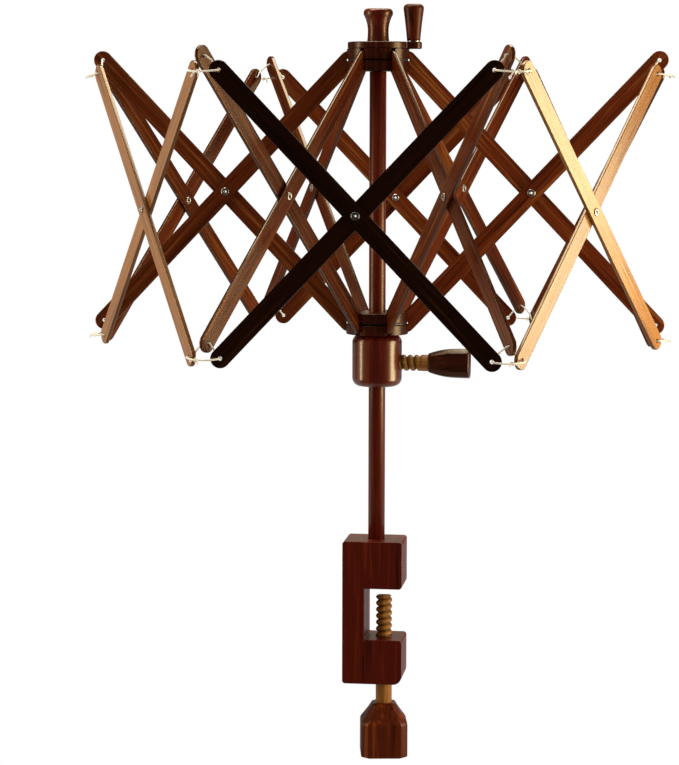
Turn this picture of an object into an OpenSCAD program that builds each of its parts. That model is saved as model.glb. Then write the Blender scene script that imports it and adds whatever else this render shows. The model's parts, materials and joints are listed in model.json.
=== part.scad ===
// Umbrella swift: a folding yarn reel of slats on a post with a table clamp.
// Millimetres. The origin is on the post's axis, in the plane of the table top that the
// upper jaw rests on. +Z is up, and +X points out of the mouth of the clamp.
// Every rib and slat is one pattern: a thin bar with round ends and three equal-spaced holes.

/* [Clamp block] */
// Width of the block, from its back to the mouth
block_w = 48.5; // [46:0.5:60]
// Depth of the block, along Y
block_d = 40; // [32:1:60]
// Distance from the post's axis to the back of the block
block_back = 25.5; // [22:0.5:30]
// Height of the upper jaw above the table top
upper_jaw_h = 38.5; // [34:0.5:60]
// Opening between the jaws
jaw_gap = 42; // [30:1:60]
// Height of the lower jaw
lower_jaw_h = 36.5; // [28:0.5:50]
// Thickness of the spine behind the mouth
spine_t = 18; // [12:0.5:20]
// Radius of the block's lower mouth-side corner
block_toe_r = 7; // [4:0.5:12]
// Radius of the block's other corners
block_corner_r = 2.5; // [1:0.5:5]

/* [Clamp screw] */
// Diameter over the thread crests of both wooden screws
screw_d = 13.2; // [10:0.1:14]
// Distance of the clamp screw's axis from the post's axis
screw_x = 6.5; // [4:0.5:9]
// Gap from the table top plane to the screw's tip
screw_tip_gap = 8.4; // [3:0.1:25]
// Bare shank between the block and the knob
screw_shank = 18.6; // [12:0.1:30]
// Length of the clamp knob
clamp_knob_l = 43.5; // [36:0.5:56]
// Width of the clamp knob
clamp_knob_w = 38; // [30:0.5:46]
// Width of the clamp knob where it meets the screw
clamp_knob_neck = 18.5; // [17:0.5:24]
// Length of the clamp knob's sloping shoulders
clamp_knob_shoulder = 15; // [10:0.5:26]
// Cut off the clamp knob's long edges
clamp_knob_cut = 5.6; // [2:0.1:8]
// Turn of the clamp knob at rest
clamp_knob_turn = 9; // [-45:1:45]

/* [Post] */
// Diameter of the post
shaft_d = 13.5; // [11:0.1:15]
// Depth of the post's socket in the upper jaw
shaft_socket = 30; // [20:0.5:32]
// Diameter of the journal that the crown turns on
journal_d = 9; // [7:0.1:10]
// Height of the crown's pivot wire above the table top
crown_z = 425; // [400:1:480]

/* [Finial] */
// Height of the finial
finial_h = 26; // [22:0.5:32]
// Diameter of the finial's lip
finial_lip_d = 23.4; // [20:0.1:28]
// Diameter of the finial's neck
finial_neck_d = 16.6; // [13:0.1:18]
// Diameter of the finial's foot
finial_foot_d = 17.8; // [14:0.1:20]

/* [Hubs] */
// Diameter of the slotted hubs
hub_d = 50; // [49:0.5:58]
// Height of the slotted hubs
hub_h = 17.6; // [16:0.1:22]
// Radius of the ring of pivot wire
pivot_r = 23.4; // [22:0.1:24]
// Diameter of the pivot wire
wire_d = 1.6; // [1:0.1:2]
// Diameter of the plate on the crown
plate_d = 48.6; // [44:0.1:56]
// Thickness of the plate on the crown
plate_t = 5.6; // [5:0.1:8]

/* [Crank peg] */
// Distance of the crank peg from the post's axis
peg_r = 28.3; // [27:0.1:36]
// Width of the plate's lug under the peg
lug_w = 13.4; // [12:0.1:18]
// Height of the peg
peg_h = 29; // [22:0.5:40]
// Diameter of the peg at its widest
peg_top_d = 16.4; // [13:0.1:20]
// Diameter of the peg at its foot
peg_foot_d = 10.6; // [9:0.1:12]
// Thickness of the washer under the peg
washer_t = 0.8; // [0.5:0.1:1.5]

/* [Slats] */
// Distance between neighbouring holes of a slat
hole_pitch = 145; // [120:1:160]
// Width of a slat
slat_w = 14.5; // [12:0.5:15]
// Thickness of a slat
slat_t = 3; // [2.6:0.1:3.3]
// Diameter of a slat's end holes
end_hole_d = 3.2; // [3:0.1:4]
// Slope of the ribs at rest
slope = 46.5; // [30:0.5:75]
// Turn of the reel at rest
reel_turn = 2; // [-30:0.5:30]
// How far the outer lattice hangs below the ribs
sag = 11; // [10:0.5:12]
// How far the outer lattice stands out from the tips of the ribs
lattice_out = 5; // [4.6:0.1:6]

/* [Rivets] */
// Diameter of a rivet's head
rivet_head_d = 6.4; // [5:0.1:8]
// Thickness of a rivet's head
rivet_head_t = 0.9; // [0.6:0.1:1.4]
// Diameter of a rivet's shank
rivet_d = 3; // [2.6:0.1:3.4]
// Diameter of the hollow in a rivet
rivet_hollow_d = 1.8; // [1:0.1:2]

/* [Ties] */
// Diameter of the tie cord
cord_d = 1.4; // [1:0.1:1.6]
// Diameter of the knot in a tie
knot_d = 3.2; // [2.4:0.1:4]

/* [Collar] */
// Diameter of the collar
collar_d = 40; // [34:0.5:46]
// Height of the collar
collar_h = 42; // [38:0.5:48]
// Radius of the collar's rounded edges
collar_edge_r = 6.5; // [3:0.5:8]
// Drop of the thumb screw's axis below the top of the collar
thumb_drop = 23; // [23:0.5:25]
// Bare screw between the collar and the thumb knob
thumb_shank = 21.8; // [14:0.1:28]
// Length of the thumb knob
thumb_knob_l = 33.5; // [26:0.5:42]
// Width of the thumb knob
thumb_knob_w = 23.5; // [20:0.5:25]
// Width of the thumb knob where it meets the screw
thumb_knob_neck = 15; // [14.5:0.5:19]
// Length of the thumb knob's sloping shoulders
thumb_knob_shoulder = 13.5; // [6:0.5:18]
// Cut off the thumb knob's long edges
thumb_knob_cut = 4.4; // [2:0.1:5]
// Turn of the thumb knob at rest
thumb_knob_turn = -9; // [-45:1:45]

/* [Fits] */
// Radial clearance of what turns or slides
run_fit = 0.05; // [0.02:0.01:0.1]
// Clearance of a glued joint
glue_fit = 0.02; // [0.01:0.01:0.05]
// Gap between faces of pieces that move past each other
face_gap = 0.3; // [0.2:0.05:0.5]

/* [Hidden] */
$fn = 64;
ARMS = 6;
STEP = 360 / ARMS;
FACE_TURN = STEP / 2;
ROUND_STEPS = 10;
CORD_SIDES = 8;
CORD_STEPS = 3;
// How far a cutting shape runs past the face that it opens
OVER = 1;

arms = [1 : ARMS];
function arm_names(stem) = [for (k = arms) str(stem, "_", k)];
NODES = concat(
  ["clamp_block", "shaft", "finial", "clamp_screw", "clamp_knob"],
  ["crown_hub", "crown_plate", "crown_wire", "crank_peg", "peg_screw", "peg_washer"],
  ["runner_hub", "runner_wire", "collar", "thumb_screw", "thumb_knob"],
  arm_names("upper_rib"), arm_names("lower_rib"), arm_names("rib_rivet"),
  arm_names("outer_slat"), arm_names("inner_slat"),
  arm_names("upper_tie"), arm_names("lower_tie")
);
node = "all";

ROSEWOOD = [0.27, 0.10, 0.05];
DARK_ROSEWOOD = [0.17, 0.06, 0.04];
SCREW_WOOD = [0.55, 0.33, 0.14];
STEEL = [0.72, 0.71, 0.69];
CORD = [0.93, 0.91, 0.86];

// Heights of the frame
block_bottom = -jaw_gap - lower_jaw_h;
crown_bottom = crown_z - hub_h / 2;
plate_bottom = crown_z + hub_h / 2 + glue_fit;
plate_top = plate_bottom + plate_t;
finial_z = plate_top + face_gap;
runner_z = crown_z - 2 * hole_pitch * sin(slope);
collar_top = runner_z - hub_h / 2 - face_gap;
thumb_z = collar_top - thumb_drop;
rib_mid_z = (crown_z + runner_z) / 2;
slat_mid_z = rib_mid_z - sag;

// The linkage: layer is the offset of a crossing pair from its middle plane
layer = (slat_t + face_gap) / 2;
reach = hole_pitch * cos(slope);
node_r = pivot_r + 2 * reach;
lattice_r = node_r * cos(FACE_TURN) + lattice_out;
tie_inset = pivot_r / 2;
slot_w = slat_t + 2 * face_gap;
slot_r = pivot_r - slat_w / 2 - face_gap;
rivet_hole_d = rivet_d + 2 * run_fit;
rivet_face = layer + slat_t / 2 + run_fit;

// Screw and peg details
screw_hole_d = screw_d + 2 * run_fit;
knob_socket_d = screw_d + 2 * glue_fit;
knob_socket = 16;
knob_edge = 1.5;
screw_tip_edge = 1;
finial_bore = 14;
finial_neck_z = 8.5;
finial_lip_drop = 4.7;
finial_lip_r = 3;
peg_dome = 3.5;
peg_screw_d = 4;
peg_screw_bite = 18;
peg_head_d = 6.2;
peg_head_t = 2.2;
washer_d = 10;

function arm_angle(k) = reel_turn + (k - 1) * STEP;

// Building blocks

// What a rounded corner takes off a square one, at the origin and inside +X +Y
module corner_waste(r) {
  difference() {
    square(r);
    translate([r, r]) circle(r);
  }
}

// A solid between rings of points, each ring running anticlockwise seen from the far end
module ring_solid(rings, closed = false) {
  n = len(rings[0]);
  m = len(rings);
  spans = closed ? m : m - 1;
  sides = [for (i = [0 : spans - 1], j = [0 : n - 1])
    let (a = i * n + j, b = i * n + (j + 1) % n,
         c = ((i + 1) % m) * n + j, d = ((i + 1) % m) * n + (j + 1) % n)
    each [[a, c, b], [b, c, d]]];
  caps = closed ? [] : [[for (j = [0 : n - 1]) j], [for (j = [n - 1 : -1 : 0]) (m - 1) * n + j]];
  polyhedron([for (r = rings) each r], concat(sides, caps));
}

// One octagon of a knob: a square with its corners cut
function octagon(w, cut, z) = [for (q = [0 : 3], p = [[w / 2 - cut, -w / 2], [w / 2, -w / 2 + cut]])
  let (a = q * 90 + 90) [p.x * cos(a) - p.y * sin(a), p.x * sin(a) + p.y * cos(a), z]];

// A turning knob with tapered shoulders, its neck at the origin and its axis along +Z
module knob(length, width, neck, shoulder, cut) {
  widths = [[neck, 0], [width, shoulder], [width, length - knob_edge], [width - 2 * knob_edge, length]];
  difference() {
    ring_solid([for (w = widths) octagon(w[0], cut * w[0] / width, w[1])]);
    translate([0, 0, -OVER]) cylinder(d = knob_socket_d, h = knob_socket + OVER);
  }
}

// A wooden screw's rod from its tip at the origin along +Z
module screw_rod(length) {
  edge = screw_tip_edge;
  rotate_extrude()
    polygon([[0, 0], [screw_d / 2 - edge, 0], [screw_d / 2, edge], [screw_d / 2, length], [0, length]]);
}

// One slat, flat on the XY plane about its middle hole
module slat() {
  linear_extrude(slat_t, center = true)
    difference() {
      union() {
        square([2 * hole_pitch, slat_w], center = true);
        for (x = [-hole_pitch, hole_pitch]) translate([x, 0]) circle(d = slat_w);
      }
      for (x = [-hole_pitch, hole_pitch]) translate([x, 0]) circle(d = end_hole_d);
      circle(d = rivet_hole_d);
    }
}

// A rib stands in the upright plane of its arm: tilt is positive for one that runs down and out
module place_rib(k, tilt, t) {
  rotate([0, 0, arm_angle(k)])
    translate([pivot_r + reach, t, rib_mid_z])
      rotate([0, tilt, 0]) rotate([90, 0, 0]) children();
}

// A slat of the outer lattice lies in the face between arm k and the next arm
module place_slat(k, tilt, out) {
  rotate([0, 0, arm_angle(k) + FACE_TURN])
    translate([lattice_r + out, 0, slat_mid_z])
      rotate([tilt, 0, 0]) rotate(a = 120, v = [1, 1, 1]) children();
}

// A hollow rivet through a crossing, along Z about the origin
module rivet() {
  top = rivet_face + rivet_head_t;
  rotate_extrude()
    polygon([
      [rivet_hollow_d / 2, -top], [rivet_head_d / 2 - rivet_head_t / 2, -top],
      [rivet_head_d / 2, -rivet_face], [rivet_d / 2, -rivet_face],
      [rivet_d / 2, rivet_face], [rivet_head_d / 2, rivet_face],
      [rivet_head_d / 2 - rivet_head_t / 2, top], [rivet_hollow_d / 2, top]
    ]);
}

// A hub with one slot an arm and a groove for its ring of wire: side is the layer its ribs lie in
module slotted_hub(z, bore_d, side) {
  difference() {
    translate([0, 0, z - hub_h / 2]) cylinder(d = hub_d, h = hub_h);
    translate([0, 0, z - hub_h]) cylinder(d = bore_d, h = 2 * hub_h);
    for (k = arms)
      rotate([0, 0, arm_angle(k)])
        translate([slot_r, side * layer - slot_w / 2, z - hub_h]) cube([hub_d, slot_w, 2 * hub_h]);
    translate([0, 0, z])
      rotate_extrude()
        translate([pivot_r - wire_d / 2 - run_fit, -wire_d / 2 - run_fit])
          square([hub_d, wire_d + 2 * run_fit]);
  }
}

module wire_ring(z) {
  translate([0, 0, z]) rotate_extrude() translate([pivot_r, 0]) circle(d = wire_d);
}

// Clamp and post

module clamp_block() {
  right = block_w - block_back;
  color(ROSEWOOD) difference() {
    rotate([90, 0, 0])
      linear_extrude(block_d, center = true)
        difference() {
          translate([-block_back, block_bottom]) square([block_w, upper_jaw_h - block_bottom]);
          translate([spine_t - block_back, -jaw_gap]) square([block_w, jaw_gap]);
          translate([-block_back, block_bottom]) corner_waste(block_corner_r);
          translate([-block_back, upper_jaw_h]) mirror([0, 1]) corner_waste(block_corner_r);
          translate([right, upper_jaw_h]) rotate(180) corner_waste(block_corner_r);
          translate([right, 0]) mirror([1, 0]) corner_waste(block_corner_r);
          translate([right, -jaw_gap]) rotate(180) corner_waste(block_corner_r);
          translate([right, block_bottom]) mirror([1, 0]) corner_waste(block_toe_r);
        }
    translate([0, 0, upper_jaw_h - shaft_socket])
      cylinder(d = shaft_d + 2 * glue_fit, h = shaft_socket + OVER);
    translate([screw_x, 0, block_bottom - OVER])
      cylinder(d = screw_hole_d, h = lower_jaw_h + 2 * OVER);
  }
}

module shaft() {
  foot = upper_jaw_h - shaft_socket + glue_fit;
  shoulder = crown_bottom - face_gap;
  top = finial_z + finial_bore - glue_fit;
  color(ROSEWOOD) {
    translate([0, 0, foot]) cylinder(d = shaft_d, h = shoulder - foot);
    translate([0, 0, shoulder]) cylinder(d = journal_d, h = top - shoulder);
  }
}

module finial() {
  foot = finial_foot_d / 2;
  neck = finial_neck_d / 2;
  lip = finial_lip_d / 2;
  low = finial_neck_z;
  high = finial_h - finial_lip_drop;
  cove = [for (i = [0 : ROUND_STEPS - 1]) let (u = i / ROUND_STEPS)
    [neck + (foot - neck) * pow(1 - u, 2), low * u]];
  flare = [for (i = [0 : ROUND_STEPS]) let (u = i / ROUND_STEPS)
    [neck + (lip - neck) * u * u, low + (high - low) * u]];
  dome = [for (i = [0 : ROUND_STEPS]) let (a = 90 * i / ROUND_STEPS)
    [lip - finial_lip_r * (1 - cos(a)), finial_h - finial_lip_r * (1 - sin(a))]];
  color(ROSEWOOD) translate([0, 0, finial_z])
    difference() {
      rotate_extrude() polygon(concat([[0, 0]], cove, flare, dome, [[0, finial_h]]));
      translate([0, 0, -OVER]) cylinder(d = journal_d + 2 * glue_fit, h = finial_bore + OVER);
    }
}

module clamp_screw() {
  knob_z = block_bottom - screw_shank;
  length = -screw_tip_gap - knob_z + knob_socket - glue_fit;
  color(SCREW_WOOD) translate([screw_x, 0, -screw_tip_gap]) mirror([0, 0, 1]) screw_rod(length);
}

module clamp_knob() {
  color(ROSEWOOD) translate([screw_x, 0, block_bottom - screw_shank])
    rotate([180, 0, clamp_knob_turn])
      knob(clamp_knob_l, clamp_knob_w, clamp_knob_neck, clamp_knob_shoulder, clamp_knob_cut);
}

// Crown

module crown_hub() {
  color(DARK_ROSEWOOD) slotted_hub(crown_z, journal_d + 2 * run_fit, 1);
}

module crown_plate() {
  color(ROSEWOOD) translate([0, 0, plate_bottom])
    difference() {
      linear_extrude(plate_t)
        union() {
          circle(d = plate_d);
          rotate(reel_turn) {
            translate([0, -lug_w / 2]) square([peg_r, lug_w]);
            translate([peg_r, 0]) circle(d = lug_w);
          }
        }
      translate([0, 0, -OVER]) cylinder(d = journal_d + 2 * run_fit, h = plate_t + 2 * OVER);
      rotate(reel_turn) translate([peg_r, 0, -OVER]) {
        cylinder(d = peg_screw_d + 2 * run_fit, h = plate_t + 2 * OVER);
        cylinder(d = peg_head_d + 2 * face_gap, h = OVER + peg_head_t + face_gap);
      }
    }
}

module crown_wire() {
  color(STEEL) wire_ring(crown_z);
}

// The peg's parts stand on the lug, about the peg's own axis with z = 0 at the plate's top
module place_peg() {
  rotate([0, 0, reel_turn]) translate([peg_r, 0, plate_top]) children();
}

peg_base = washer_t + 2 * run_fit;

module crank_peg() {
  foot = peg_foot_d / 2;
  wide = peg_top_d / 2;
  high = peg_h - peg_dome;
  side = [for (i = [0 : ROUND_STEPS]) let (u = i / ROUND_STEPS)
    [foot + (wide - foot) * (0.75 * u + 0.25 * u * u), high * u]];
  dome = [for (i = [1 : ROUND_STEPS]) let (a = 90 * i / ROUND_STEPS)
    [wide - peg_dome * (1 - cos(a)), high + peg_dome * sin(a)]];
  color(ROSEWOOD) place_peg()
    translate([0, 0, peg_base])
      difference() {
        rotate_extrude() polygon(concat([[0, 0]], side, dome, [[0, peg_h]]));
        translate([0, 0, -OVER]) cylinder(d = peg_screw_d + 2 * glue_fit, h = peg_screw_bite + OVER);
      }
}

module peg_screw() {
  head_top = peg_head_t - plate_t;
  color(STEEL) place_peg() {
    translate([0, 0, -plate_t]) cylinder(d = peg_head_d, h = peg_head_t);
    translate([0, 0, head_top])
      cylinder(d = peg_screw_d, h = peg_base + peg_screw_bite - glue_fit - head_top);
  }
}

module peg_washer() {
  color(STEEL) place_peg()
    translate([0, 0, run_fit])
      difference() {
        cylinder(d = washer_d, h = washer_t);
        translate([0, 0, -OVER]) cylinder(d = peg_screw_d + 2 * run_fit, h = washer_t + 2 * OVER);
      }
}

// Runner and collar

module runner_hub() {
  color(DARK_ROSEWOOD) slotted_hub(runner_z, shaft_d + 2 * run_fit, -1);
}

module runner_wire() {
  color(STEEL) wire_ring(runner_z);
}

module collar() {
  r = collar_d / 2;
  bore = shaft_d / 2 + run_fit;
  color(ROSEWOOD) difference() {
    translate([0, 0, collar_top - collar_h])
      rotate_extrude()
        difference() {
          translate([bore, 0]) square([r - bore, collar_h]);
          translate([r, 0]) mirror([1, 0]) corner_waste(collar_edge_r);
          translate([r, collar_h]) rotate(180) corner_waste(collar_edge_r);
        }
    translate([0, 0, thumb_z]) rotate([0, 90, 0]) cylinder(d = screw_hole_d, h = collar_d);
  }
}

module thumb_screw() {
  tip = shaft_d / 2 + face_gap;
  length = collar_d / 2 + thumb_shank + knob_socket - glue_fit - tip;
  color(SCREW_WOOD) translate([tip, 0, thumb_z]) rotate([0, 90, 0]) screw_rod(length);
}

module thumb_knob() {
  color(ROSEWOOD) translate([collar_d / 2 + thumb_shank, 0, thumb_z])
    rotate([thumb_knob_turn, 0, 0]) rotate([0, 90, 0])
      knob(thumb_knob_l, thumb_knob_w, thumb_knob_neck, thumb_knob_shoulder, thumb_knob_cut);
}

// Ribs, slats and rivets

module upper_rib(k) {
  color(ROSEWOOD) place_rib(k, slope, layer) slat();
}

module lower_rib(k) {
  color(ROSEWOOD) place_rib(k, -slope, -layer) slat();
}

module rib_rivet(k) {
  color(STEEL) place_rib(k, 0, 0) rivet();
}

// The outer slat of a crossing carries the rivet
module outer_slat(k) {
  color(DARK_ROSEWOOD) place_slat(k, -slope, layer) slat();
  color(STEEL) place_slat(k, 0, 0) rivet();
}

module inner_slat(k) {
  color(DARK_ROSEWOOD) place_slat(k, slope, -layer) slat();
}

// Ties: a loop of cord through the end holes of one rib and of two slats of the outer lattice.
// Points are [outward, along the ring, up] from the rib's hole.

// A point of the face on one side of a rib: along the face from its tip, and out from it
function face_point(side, along, out, z) = [
  out * cos(FACE_TURN) - along * sin(FACE_TURN),
  side * (along * cos(FACE_TURN) + out * sin(FACE_TURN)), z];

// Half the straight run of cord that passes through a slat
pass = slat_t / 2 + cord_d / 2 + 0.3;
beside = layer + pass;
near = lattice_out - layer;
far = lattice_out + layer;
tie_front = lattice_out + 3.5;
tie_route = [
  [0, -beside, 0],
  face_point(-1, beside + 0.9, near - pass - 0.8, -0.25 * sag),
  face_point(-1, tie_inset - 3, near - pass - 0.6, -0.65 * sag),
  face_point(-1, tie_inset, near - pass, -sag),
  face_point(-1, tie_inset, near + pass, -sag),
  [tie_front - 2.5, -tie_inset + 1.5, -sag - 0.6],
  [tie_front, -2.5, -sag - 1],
  [tie_front, 6, -sag - 1],
  face_point(1, tie_inset - 2, far + pass + 1.6, -sag - 0.3),
  face_point(1, tie_inset, far + pass, -sag),
  face_point(1, tie_inset, far - pass, -sag),
  face_point(1, tie_inset - 3, far - pass - 0.6, -0.6 * sag),
  [0, pass - layer + 0.6, -0.5]
];
KNOT_POINT = 6;

function smooth(a, b, c, d, u) = 0.5 * (2 * b + (c - a) * u
  + (2 * a - 5 * b + 4 * c - d) * u * u + (3 * b - a - 3 * c + d) * u * u * u);

function unit(v) = v / norm(v);

// The route rounded into a closed curve through its points
function rounded(points) = [for (i = [0 : len(points) - 1], s = [0 : CORD_STEPS - 1])
  let (n = len(points))
  smooth(points[(i + n - 1) % n], points[i], points[(i + 1) % n], points[(i + 2) % n], s / CORD_STEPS)];

// The cord swells to the knot over one step of the route
function cord_r(i) = let (steps = abs(i - KNOT_POINT * CORD_STEPS - CORD_STEPS / 2))
  cord_d / 2 + (knot_d - cord_d) / 2 * max(0, 1 - pow(steps / CORD_STEPS, 2));

// A tie in its arm's own directions: side is -1 for the mirrored loop of a lower tie
module tie(k, z, side) {
  path = [for (p = rounded(tie_route)) [p.x, side * p.y, p.z]];
  n = len(path);
  loop_axis = unit([0.6, 0, 0.8]);
  rings = [for (i = [0 : n - 1])
    let (along = unit(path[(i + 1) % n] - path[(i + n - 1) % n]),
         across = unit(cross(loop_axis, along)), over = cross(along, across), r = cord_r(i))
    [for (j = [0 : CORD_SIDES - 1]) let (a = 360 * j / CORD_SIDES)
      path[i] + r * (cos(a) * across + sin(a) * over)]];
  rotate([0, 0, arm_angle(k)]) translate([node_r, 0, z]) ring_solid(rings, closed = true);
}

module upper_tie(k) {
  color(CORD) tie(k, crown_z, 1);
}

module lower_tie(k) {
  color(CORD) tie(k, runner_z, -1);
}

function shown(name) = node == "all" || node == name;

if (shown("clamp_block")) clamp_block();
if (shown("shaft")) shaft();
if (shown("finial")) finial();
if (shown("clamp_screw")) clamp_screw();
if (shown("clamp_knob")) clamp_knob();
if (shown("crown_hub")) crown_hub();
if (shown("crown_plate")) crown_plate();
if (shown("crown_wire")) crown_wire();
if (shown("crank_peg")) crank_peg();
if (shown("peg_screw")) peg_screw();
if (shown("peg_washer")) peg_washer();
if (shown("runner_hub")) runner_hub();
if (shown("runner_wire")) runner_wire();
if (shown("collar")) collar();
if (shown("thumb_screw")) thumb_screw();
if (shown("thumb_knob")) thumb_knob();
for (k = arms) {
  if (shown(str("upper_rib_", k))) upper_rib(k);
  if (shown(str("lower_rib_", k))) lower_rib(k);
  if (shown(str("rib_rivet_", k))) rib_rivet(k);
  if (shown(str("outer_slat_", k))) outer_slat(k);
  if (shown(str("inner_slat_", k))) inner_slat(k);
  if (shown(str("upper_tie_", k))) upper_tie(k);
  if (shown(str("lower_tie_", k))) lower_tie(k);
}
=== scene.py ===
"""Looks of the umbrella swift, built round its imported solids.

Lengths are metres in the part's own frame: the post stands on Z, the mouth of the clamp opens
to +X and z = 0 is the top of the table. MM turns millimetres into metres.
"""
import json
import math

import bmesh
import bpy
import numpy as np
from mathutils import Matrix, Vector

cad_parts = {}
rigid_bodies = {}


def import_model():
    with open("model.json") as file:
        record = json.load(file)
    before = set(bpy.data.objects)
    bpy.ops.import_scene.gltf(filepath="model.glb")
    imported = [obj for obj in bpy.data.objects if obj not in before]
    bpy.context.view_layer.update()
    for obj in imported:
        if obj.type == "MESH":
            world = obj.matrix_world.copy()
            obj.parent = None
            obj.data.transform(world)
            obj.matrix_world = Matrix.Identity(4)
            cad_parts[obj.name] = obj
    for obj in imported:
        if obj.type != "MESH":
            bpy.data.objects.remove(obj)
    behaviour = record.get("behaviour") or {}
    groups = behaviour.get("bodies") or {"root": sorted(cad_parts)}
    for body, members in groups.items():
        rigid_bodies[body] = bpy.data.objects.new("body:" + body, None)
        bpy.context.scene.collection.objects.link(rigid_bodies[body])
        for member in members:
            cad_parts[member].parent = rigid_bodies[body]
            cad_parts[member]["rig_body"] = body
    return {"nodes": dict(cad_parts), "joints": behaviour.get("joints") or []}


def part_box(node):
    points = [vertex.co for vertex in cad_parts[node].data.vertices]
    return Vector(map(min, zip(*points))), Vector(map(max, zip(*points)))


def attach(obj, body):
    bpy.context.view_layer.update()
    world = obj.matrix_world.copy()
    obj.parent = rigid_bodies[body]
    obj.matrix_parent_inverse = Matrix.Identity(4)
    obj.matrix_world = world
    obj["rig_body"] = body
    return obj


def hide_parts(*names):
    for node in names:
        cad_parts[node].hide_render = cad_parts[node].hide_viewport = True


MM = 0.001
TURN = 2 * math.pi
UP = np.array([0.0, 0.0, 1.0])

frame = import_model()
nodes = frame["nodes"]
joints = {joint["name"]: joint for joint in frame["joints"]}
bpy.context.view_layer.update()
random = np.random.default_rng(7)
ARMS = range(1, 7)

# Camera, fitted to the photograph

CAMERA_AROUND = math.radians(6.61)
CAMERA_DISTANCE = 2.0277
CAMERA_HEIGHT = 0.3848
CAMERA_DOWN = math.radians(6.16)
CAMERA_ASIDE = math.radians(0.857)
CAMERA_ROLL = math.radians(0.117)
CAMERA_LENS = 118.53
CAMERA_CLIP = (0.05, 50.0)
SENSOR = 36.0


def place_camera():
    """Stand the camera round the post, turn it to the post and aside, tip it down and roll it."""
    data = bpy.data.cameras.new("camera")
    data.lens = CAMERA_LENS
    data.sensor_width = SENSOR
    data.clip_start, data.clip_end = CAMERA_CLIP
    camera = bpy.data.objects.new("camera", data)
    spot = Vector((math.sin(CAMERA_AROUND), -math.cos(CAMERA_AROUND), 0)) * CAMERA_DISTANCE
    spot.z = CAMERA_HEIGHT
    camera.matrix_world = (
        Matrix.Translation(spot)
        @ Matrix.Rotation(CAMERA_AROUND + CAMERA_ASIDE, 4, "Z")
        @ Matrix.Rotation(math.pi / 2 - CAMERA_DOWN, 4, "X")
        @ Matrix.Rotation(CAMERA_ROLL, 4, "Z")
    )
    bpy.context.scene.collection.objects.link(camera)
    bpy.context.scene.camera = camera


# Shader sums


class Socket:
    """A shader socket that can stand in a sum: each operator adds a Math node."""

    def __init__(self, tree, socket=None):
        self.tree = tree
        self.socket = socket

    def node(self, kind, settings=None, inputs=None, out=0):
        """Add a node: its settings first, then the values or links of its sockets."""
        made = self.tree.nodes.new("ShaderNode" + kind)
        for name, value in (settings or {}).items():
            if name == "stops":
                ramp = made.color_ramp.elements
                while len(ramp) < len(value):
                    ramp.new(1.0)
                for stop, (place, color) in zip(ramp, value):
                    stop.position = place
                    stop.color = (*color, 1)
            else:
                setattr(made, name, value)
        for name, value in (inputs or {}).items():
            if isinstance(value, Socket):
                self.tree.links.new(value.socket, made.inputs[name])
            else:
                made.inputs[name].default_value = value
        return Socket(self.tree, made.outputs[out] if made.outputs else None)

    def twin(self, name):
        """Another output of the same node."""
        return Socket(self.tree, self.socket.node.outputs[name])

    def math(self, operation, first, second):
        return self.node("Math", {"operation": operation}, {0: first, 1: second})

    def __add__(self, other):
        return self.math("ADD", self, other)

    def __rsub__(self, other):
        return self.math("SUBTRACT", other, self)

    def __mul__(self, other):
        return self.math("MULTIPLY", self, other)

    __radd__ = __add__
    __rmul__ = __mul__

    def largest(self, other):
        return self.math("MAXIMUM", self, other)

    def step(self, low, high):
        """0 below low, 1 above high and a smooth rise between."""
        settings = {"interpolation_type": "SMOOTHSTEP"}
        return self.node("MapRange", settings, {"Value": self, "From Min": low, "From Max": high})

    def stretched(self, scale):
        """A vector with each of its axes scaled."""
        return self.node("VectorMath", {"operation": "MULTIPLY"}, {0: self, 1: scale})

    def noise(self, scale, detail=3.0, rough=0.55, warp=0.0):
        """Noise on this vector, stretched by a scale for each axis."""
        inputs = {"Vector": self.stretched(scale), "Scale": 1.0, "Detail": detail}
        return self.node("TexNoise", None, {**inputs, "Roughness": rough, "Distortion": warp})

    def mix(self, first, second):
        """First where this is 0 and second where it is 1, for colours."""
        return self.node("Mix", {"data_type": "RGBA"}, {0: self, 6: first, 7: second}, out=2)

    def tinted(self, amount):
        """A colour made lighter or darker by a factor."""
        return self.node("VectorMath", {"operation": "SCALE"}, {0: self, "Scale": amount})


def new_material(name):
    """An empty material and the root that its nodes hang from."""
    material = bpy.data.materials.new(name)
    material.use_nodes = True
    material.node_tree.nodes.clear()
    return material, Socket(material.node_tree)


def finish_surface(root, **sockets):
    """End a material in one Principled shader with these sockets, given with _ for a space."""
    inputs = {name.replace("_", " "): value for name, value in sockets.items()}
    shader = root.node("BsdfPrincipled", None, inputs)
    root.node("OutputMaterial", None, {"Surface": shader})


def per_mm(vector):
    """A vector in metres, in millimetres."""
    return vector.stretched((1000, 1000, 1000))


def own_grain(root):
    """Millimetres along and across the grain, which the piece carries as an attribute."""
    return per_mm(root.node("Attribute", {"attribute_name": "grain"}, None, out="Vector"))


def upright_grain(root):
    """Millimetres along and across a grain that runs up the part's own Z."""
    place = root.node("TexCoord", None, None, out="Object")
    turned_over = {"Vector": place, "Rotation": (0, math.pi / 2, 0)}
    return per_mm(root.node("Mapping", None, turned_over))


VARNISH = (1.0, 0.80, 0.46, 1)
STREAK_STOPS = (0.36, 0.46, 0.53, 0.66)
# How fast each figure of the timber changes along and across the grain, per millimetre
DRIFT = (0.006, 0.05, 0.05)
STREAK = (0.009, 0.30, 0.30)
VEIN = (0.016, 0.95, 0.95)
FIBRE = (0.09, 5.0, 5.0)
PORES = (0.22, 3.4, 3.4)
# Where in its noise a vein or a pore starts and where it is full
VEIN_RANGE = (0.56, 0.72)
PORE_RANGE = (0.63, 0.74)
VEIN_DEPTH = 0.55
RELIEF = 0.1 * MM


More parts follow.
